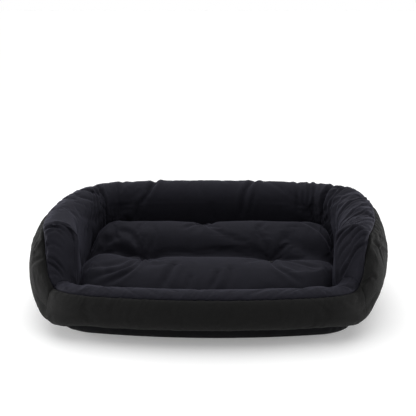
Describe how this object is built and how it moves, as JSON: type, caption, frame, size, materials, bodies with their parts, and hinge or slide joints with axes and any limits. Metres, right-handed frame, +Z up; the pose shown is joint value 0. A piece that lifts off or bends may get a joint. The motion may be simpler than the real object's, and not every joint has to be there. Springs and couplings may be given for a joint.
{
  "type": "dog sofa bed",
  "caption": "Rectangular bolster bed for a dog, with a low front lip, a high back and arms, and a loose tufted cushion that lifts out.",
  "frame": {"origin": "on the floor under the middle of the bed's outline", "axes": "+X along the bed to the right, +Y to the high back, +Z up; the low lip faces -Y"},
  "size_m": [0.8014, 0.5238, 0.218],
  "materials": {
    "outer_fabric": "brushed woven polyester, charcoal black",
    "inner_fabric": "short brushed pile, bluish black",
    "base_fabric": "plain coated weave, near black",
    "polyester_fill": "loose fibre filling",
    "divider_fabric": "thin lining",
    "sewing_thread": "black thread",
    "zip_tape_fabric": "woven tape",
    "zip_plastic": "black nylon",
    "zip_metal": "black enamel"
  },
  "bodies": {
    "shell": {"base_panel": "base_fabric", "outer_front_panel": "outer_fabric", "inner_front_panel": "inner_fabric", "front_bolster_fill": "polyester_fill", "outer_left_panel": "outer_fabric", "inner_left_panel": "inner_fabric", "left_bolster_fill": "polyester_fill", "outer_right_panel": "outer_fabric", "inner_right_panel": "inner_fabric", "right_bolster_fill": "polyester_fill", "outer_back_panel": "outer_fabric", "inner_back_panel": "inner_fabric", "back_bolster_fill": "polyester_fill", "front_left_divider": "divider_fabric", "front_right_divider": "divider_fabric", "rear_left_divider": "divider_fabric", "rear_right_divider": "divider_fabric"},
    "cushion": {"cushion_top_panel": "inner_fabric", "cushion_bottom_panel": "inner_fabric", "cushion_fill": "polyester_fill", "tuft_threads": "sewing_thread", "zip_tape_upper": "zip_tape_fabric", "zip_tape_lower": "zip_tape_fabric", "zip_teeth_upper": "zip_plastic", "zip_teeth_lower": "zip_plastic", "zip_stops": "zip_plastic"},
    "zip_slider": {"zip_slider": "zip_metal"},
    "zip_pull": {"zip_pull": "zip_metal"}
  },
  "joints": [
    {"name": "cushion_lift", "type": "slide", "parent": "shell", "child": "cushion", "axis": [0, 0, 1], "range_m": [0, 0.3]},
    {"name": "zip_slide", "type": "slide", "parent": "cushion", "child": "zip_slider", "axis": [-1, 0, 0], "range_m": [0, 0.351]},
    {"name": "pull_flip", "type": "hinge", "parent": "zip_slider", "child": "zip_pull", "pos_m": [0.18542, 0.12678, 0.062], "axis": [0, 0, -1], "range_deg": [0, 170]}
  ]
}
